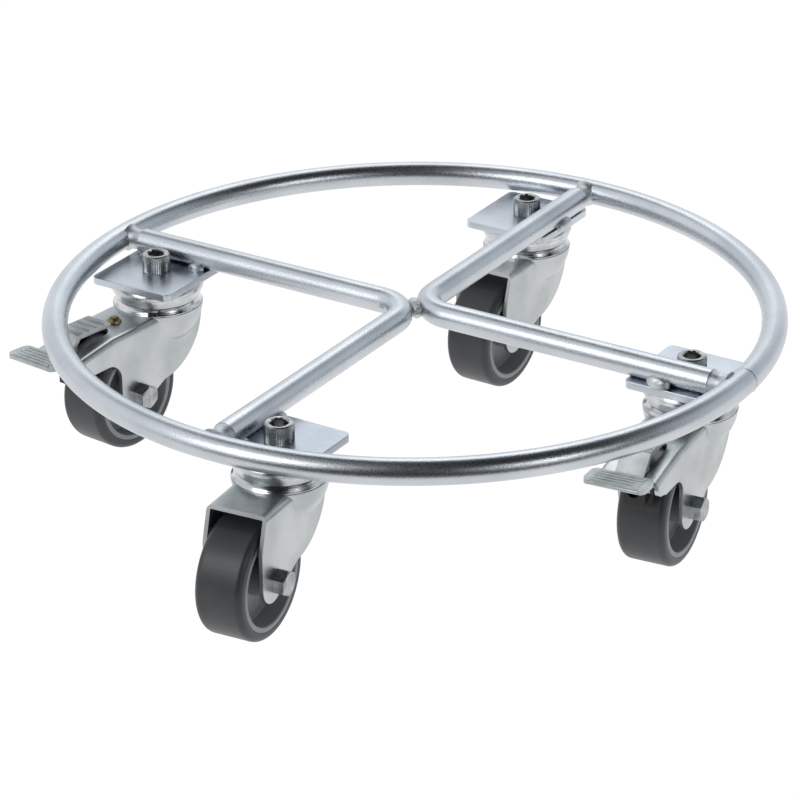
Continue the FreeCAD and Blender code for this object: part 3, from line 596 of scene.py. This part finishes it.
# --- Wheels ---------------------------------------------------------------------------------------
# A grey polypropylene hub with a dark grey rubber tread moulded round it. The hub runs on a steel
# sleeve that the axle bolt clamps between the cheeks.
def moulded(name, light, dark, rough, grain_mm, grain_depth, cloud_mm):
    """A moulded plastic or rubber: two close tints in slow clouds and a fine eroded grain."""
    material = bpy.data.materials.new(name)
    material.use_nodes = True
    tree = material.node_tree
    body = tree.nodes["Principled BSDF"]
    where = add(tree, "ShaderNodeTexCoord").outputs["Object"]
    cloud = add(tree, "ShaderNodeTexNoise", {"Vector": where, "Scale": 1000 / cloud_mm, "Detail": 4.0})
    tint = add(tree, "ShaderNodeMapRange", {0: cloud.outputs[0], 1: 0.3, 2: 0.7})
    colour = add(tree, "ShaderNodeMix", {0: tint.outputs[0], 6: linear(dark), 7: linear(light)},
                 data_type="RGBA")
    grain = add(tree, "ShaderNodeTexNoise", {"Vector": where, "Scale": 1000 / grain_mm, "Detail": 3.0})
    dull = add(tree, "ShaderNodeMapRange",
               {0: grain.outputs[0], 1: 0.3, 2: 0.7, 3: rough - 0.05, 4: rough + 0.05})
    relief = add(tree, "ShaderNodeBump",
                 {"Height": grain.outputs[0], "Distance": grain_depth / 1000, "Strength": 1.0})
    tree.links.new(colour.outputs[2], body.inputs["Base Color"])
    tree.links.new(dull.outputs[0], body.inputs["Roughness"])
    tree.links.new(relief.outputs[0], body.inputs["Normal"])
    return material


# Thermoplastic rubber: dark neutral grey with a dry, slightly dusty skin.
tread_rubber = moulded("grey_thermoplastic_rubber", "#393b3f", "#303235", 0.38, 0.6, 0.02, 18)
# Polypropylene straight from the mould: light grey, low gloss.
hub_plastic = moulded("grey_polypropylene", "#8f9395", "#84888b", 0.38, 0.5, 0.01, 25)
for name in CASTERS:
    eased("tread_" + name, "tread_ring_" + name, 0.0003, tread_rubber, angle=40)
    eased("hub_" + name, "wheel_hub_" + name, 0.0005, hub_plastic, angle=30)
    eased("axle_sleeve_" + name, "hub_sleeve_" + name, 0.0002, ball_steel, angle=40)


# --- Axle bolts and nuts --------------------------------------------------------------------------
# An M8 hexagon bolt through each fork, its head on one cheek and a nut on the other. Both are cold
# forged steel with a thin zinc plate.

# Thin zinc on a forged bolt head: grey satin.
axle_zinc = plated("thin_zinc_on_forged_bolt", "#b9bcbe", "#94979a", 0.2, 5, 0.5, 0.015, 0.1)
for name in CASTERS:
    eased("axle_bolt_" + name, "axle_screw_" + name, 0.00015, axle_zinc, angle=22, segments=1)
    eased("axle_nut_" + name, "axle_lock_nut_" + name, 0.00015, axle_zinc, angle=22, segments=1)


# --- Brakes ---------------------------------------------------------------------------------------
# A pressed lever on a pin: its wide ribbed pedal sets the brake and its tab frees it. It pushes a
# black block, held by a riveted leaf spring, on to the tread.
# Zinc plated in a barrel after pressing: satin, a little darker than the fork.
lever_zinc = plated("satin_zinc_on_pressed_lever", "#bfc3c3", "#a2a7a7", 0.28, 14, 0.7, 0.03, 0.1)
# Bare tempered spring steel: dull grey.
spring_steel = plated("grey_spring_steel", "#8b8d8f", "#6e7072", 0.35, 8, 0.5, 0.01, 0.1)
# Yellow passivated zinc: an olive brass tint.
rivet_brass = plated("yellow_passivated_rivet", "#b5a878", "#8f8458", 0.3, 4, 0.6, 0.02, 0.12)
# Glass-filled nylon: black with a faint dry grain.
block_black = moulded("black_glass_filled_nylon", "#101112", "#0b0c0c", 0.42, 0.35, 0.015, 10)
for name, braked in CASTERS.items():
    if not braked:
        continue
    eased("pedal_lever_" + name, "foot_lever_" + name, 0.0005, lever_zinc, angle=30)
    eased("lever_pin_" + name, "lever_axle_" + name, 0.0002, ball_steel, angle=40)
    eased("brake_block_" + name, "tread_brake_" + name, 0.0006, block_black, angle=30)
    eased("spring_leaf_" + name, "brake_leaf_" + name, 0.0002, spring_steel, angle=30)
    eased("spring_rivet_" + name, "leaf_rivet_" + name, 0.0003, rivet_brass, angle=40)
